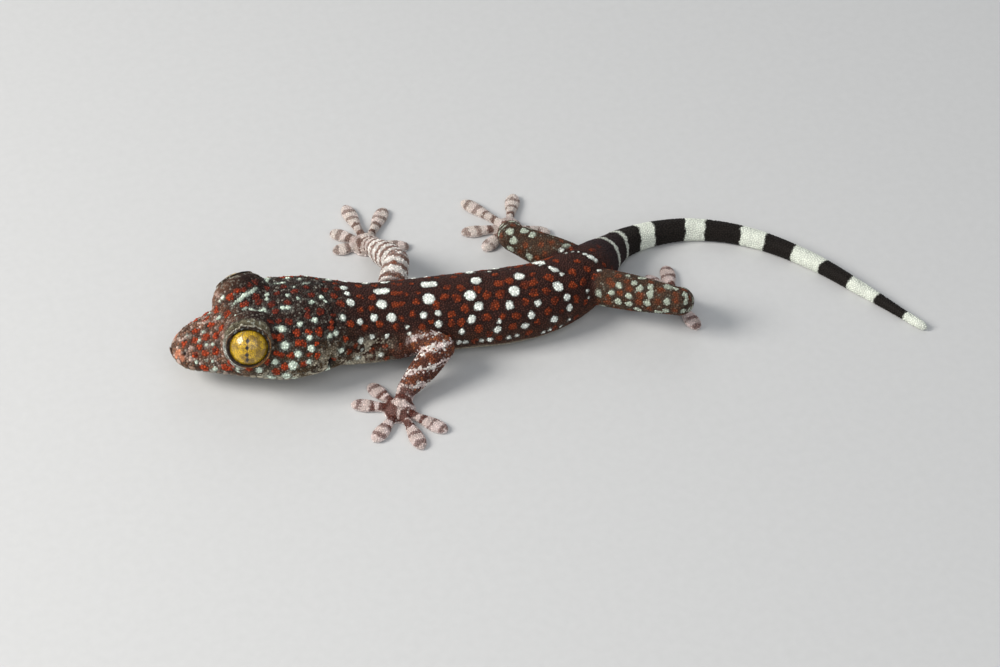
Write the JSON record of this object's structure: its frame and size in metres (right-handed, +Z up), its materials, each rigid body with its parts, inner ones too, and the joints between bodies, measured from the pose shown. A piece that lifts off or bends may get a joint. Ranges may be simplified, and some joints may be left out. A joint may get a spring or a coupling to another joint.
{
  "type": "young gecko figure",
  "caption": "Still life-size young spotted gecko with a broad head, large gold eyes, spread toe pads and a slim curved ringed tail.",
  "frame": {"origin": "on the floor under the middle of the torso, where the belly rests", "axes": "+X from the head towards the tail, +Z up, and the animal's own right side towards +Y"},
  "size_m": [0.0877, 0.045, 0.0108],
  "materials": {
    "head_skin": "fine granular scales, dark grey-green with rust and pale spots",
    "body_skin": "fine granular scales, dark plum brown with rust and pale spots",
    "foot_skin": "smooth fine scales, pale lilac grey",
    "tail_skin": "small ringed scales, near black with pale rings",
    "eye": "wet gloss over a gold iris"
  },
  "bodies": {
    "root": {"head": "head_skin", "lower_jaw": "head_skin", "eye_left": "eye", "eye_right": "eye", "neck": "body_skin", "torso": "body_skin", "tail_base": "tail_skin", "tail_middle": "tail_skin", "tail_rear": "tail_skin", "tail_tip": "tail_skin", "left_front_upper_arm": "body_skin", "left_front_forearm": "body_skin", "left_front_hand": "foot_skin", "right_front_upper_arm": "body_skin", "right_front_forearm": "body_skin", "right_front_hand": "foot_skin", "left_hind_thigh": "body_skin", "left_hind_shank": "body_skin", "left_hind_foot": "foot_skin", "right_hind_thigh": "body_skin", "right_hind_shank": "body_skin", "right_hind_foot": "foot_skin"}
  },
  "joints": []
}
